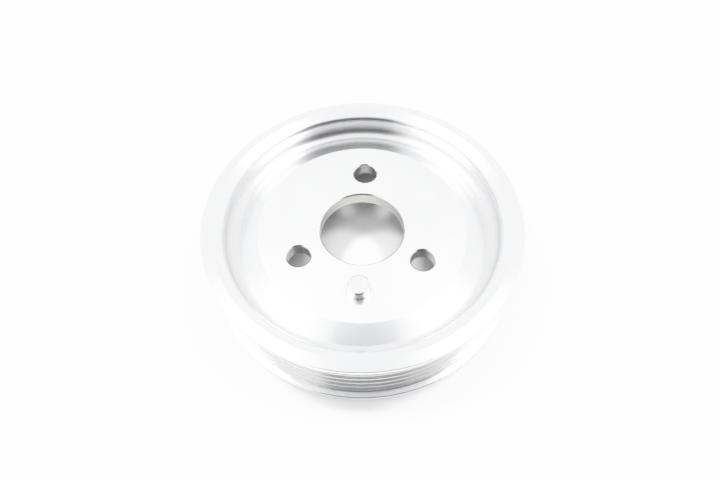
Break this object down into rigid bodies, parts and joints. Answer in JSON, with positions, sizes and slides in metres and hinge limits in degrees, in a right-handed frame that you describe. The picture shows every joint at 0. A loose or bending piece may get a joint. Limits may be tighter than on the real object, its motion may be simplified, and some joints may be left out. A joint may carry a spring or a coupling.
{
  "type": "ribbed belt drive pulley",
  "caption": "Dished ribbed-belt drive pulley with a centre bore, a bolt circle and a locating pin standing out of its hub face.",
  "frame": {"origin": "on the pulley's axis, at the centre of the bolt circle, in the plane of the hub's mounting face", "axes": "+Z along the axis, out of the hub's mounting face; +Y through the first bolt hole; the locating pin is on -Y"},
  "size_m": [0.12, 0.12, 0.0289],
  "materials": {
    "turned_aluminium": "fine turned, bare, bright",
    "ground_steel": "ground and polished"
  },
  "bodies": {
    "root": {"pulley_body": "turned_aluminium", "locating_pin": "ground_steel"}
  },
  "joints": []
}
